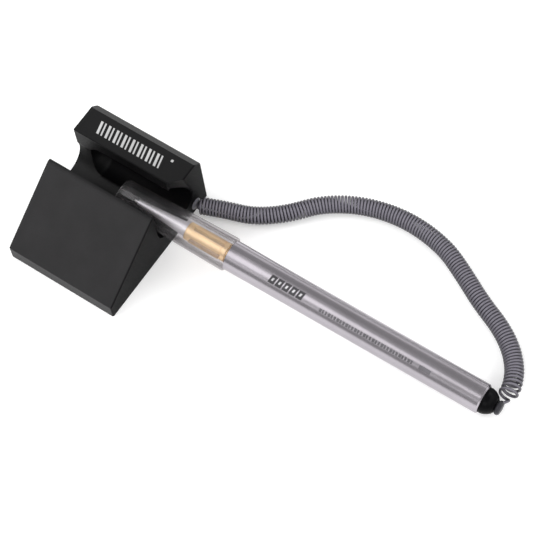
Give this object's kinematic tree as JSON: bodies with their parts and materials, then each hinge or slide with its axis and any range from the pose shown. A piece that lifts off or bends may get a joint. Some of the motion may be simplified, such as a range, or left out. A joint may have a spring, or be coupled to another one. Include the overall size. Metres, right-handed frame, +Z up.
{
  "type": "counter pen with stand",
  "caption": "Capped gel pen resting in a sloped desk stand, tied to it by a curly cord so that it stays at the counter.",
  "frame": {"origin": "centre of the adhesive pad's underside, on the counter", "axes": "+X along the pen from cap to tail, +Y from the sloped front to the head, +Z up"},
  "size_m": [0.1773, 0.0865, 0.026],
  "materials": {
    "stand_black": "fine satin texture",
    "cover_black": "matte",
    "screw_steel": "zinc plated",
    "foam": "matte foam",
    "smoky_plastic": "translucent smoke",
    "washer_steel": "plain",
    "smoky_cord": "translucent smoke",
    "clear_plastic": "clear gloss",
    "soft_seal": "soft, dark",
    "cone_silver": "bright satin",
    "collar_gold": "satin",
    "barrel_silver": "silver-grey metallic with a lilac tint",
    "needle_steel": "drawn",
    "ball_carbide": "polished",
    "holder_plastic": "plain",
    "refill_plastic": "translucent",
    "ink": "wet",
    "follower": "clear grease",
    "plug_black": "satin",
    "bead_smoky": "dark, slightly translucent",
    "tail_washer_steel": "plain"
  },
  "bodies": {
    "stand": {"stand_shell": "stand_black", "base_cover": "cover_black", "cover_screws": "screw_steel", "adhesive_pad": "foam", "coil_cord": "smoky_cord"},
    "cord_anchor": {"anchor_plug": "smoky_plastic", "anchor_washer": "washer_steel"},
    "pen": {"barrel": "barrel_silver", "collar": "collar_gold", "nose_cone": "cone_silver", "nib": "needle_steel", "nib_ball": "ball_carbide", "tip_holder": "holder_plastic", "refill_tube": "refill_plastic", "ink_column": "ink", "ink_follower": "follower", "tail_plug": "plug_black"},
    "cap": {"cap": "clear_plastic", "nib_seal": "soft_seal"},
    "tail_swivel": {"swivel_bead": "bead_smoky", "swivel_washer": "tail_washer_steel"}
  },
  "joints": [
    {"name": "pen_lift", "type": "slide", "parent": "stand", "child": "pen", "axis": [0, 0, 1], "range_m": [0, 0.03], "deforming": ["coil_cord"]},
    {"name": "cap_pull", "type": "slide", "parent": "pen", "child": "cap", "axis": [-0.9978, -0.0291, 0.06], "range_m": [0, 0.04]},
    {"name": "tail_turn", "type": "hinge", "parent": "pen", "child": "tail_swivel", "pos_m": [0.15172, 0.01191, 0.0053], "axis": [0.9978, 0.0291, -0.06], "continuous": true},
    {"name": "anchor_turn", "type": "hinge", "parent": "stand", "child": "cord_anchor", "pos_m": [0.02215, 0.02155, 0.0043], "axis": [1, 0, 0], "continuous": true}
  ]
}
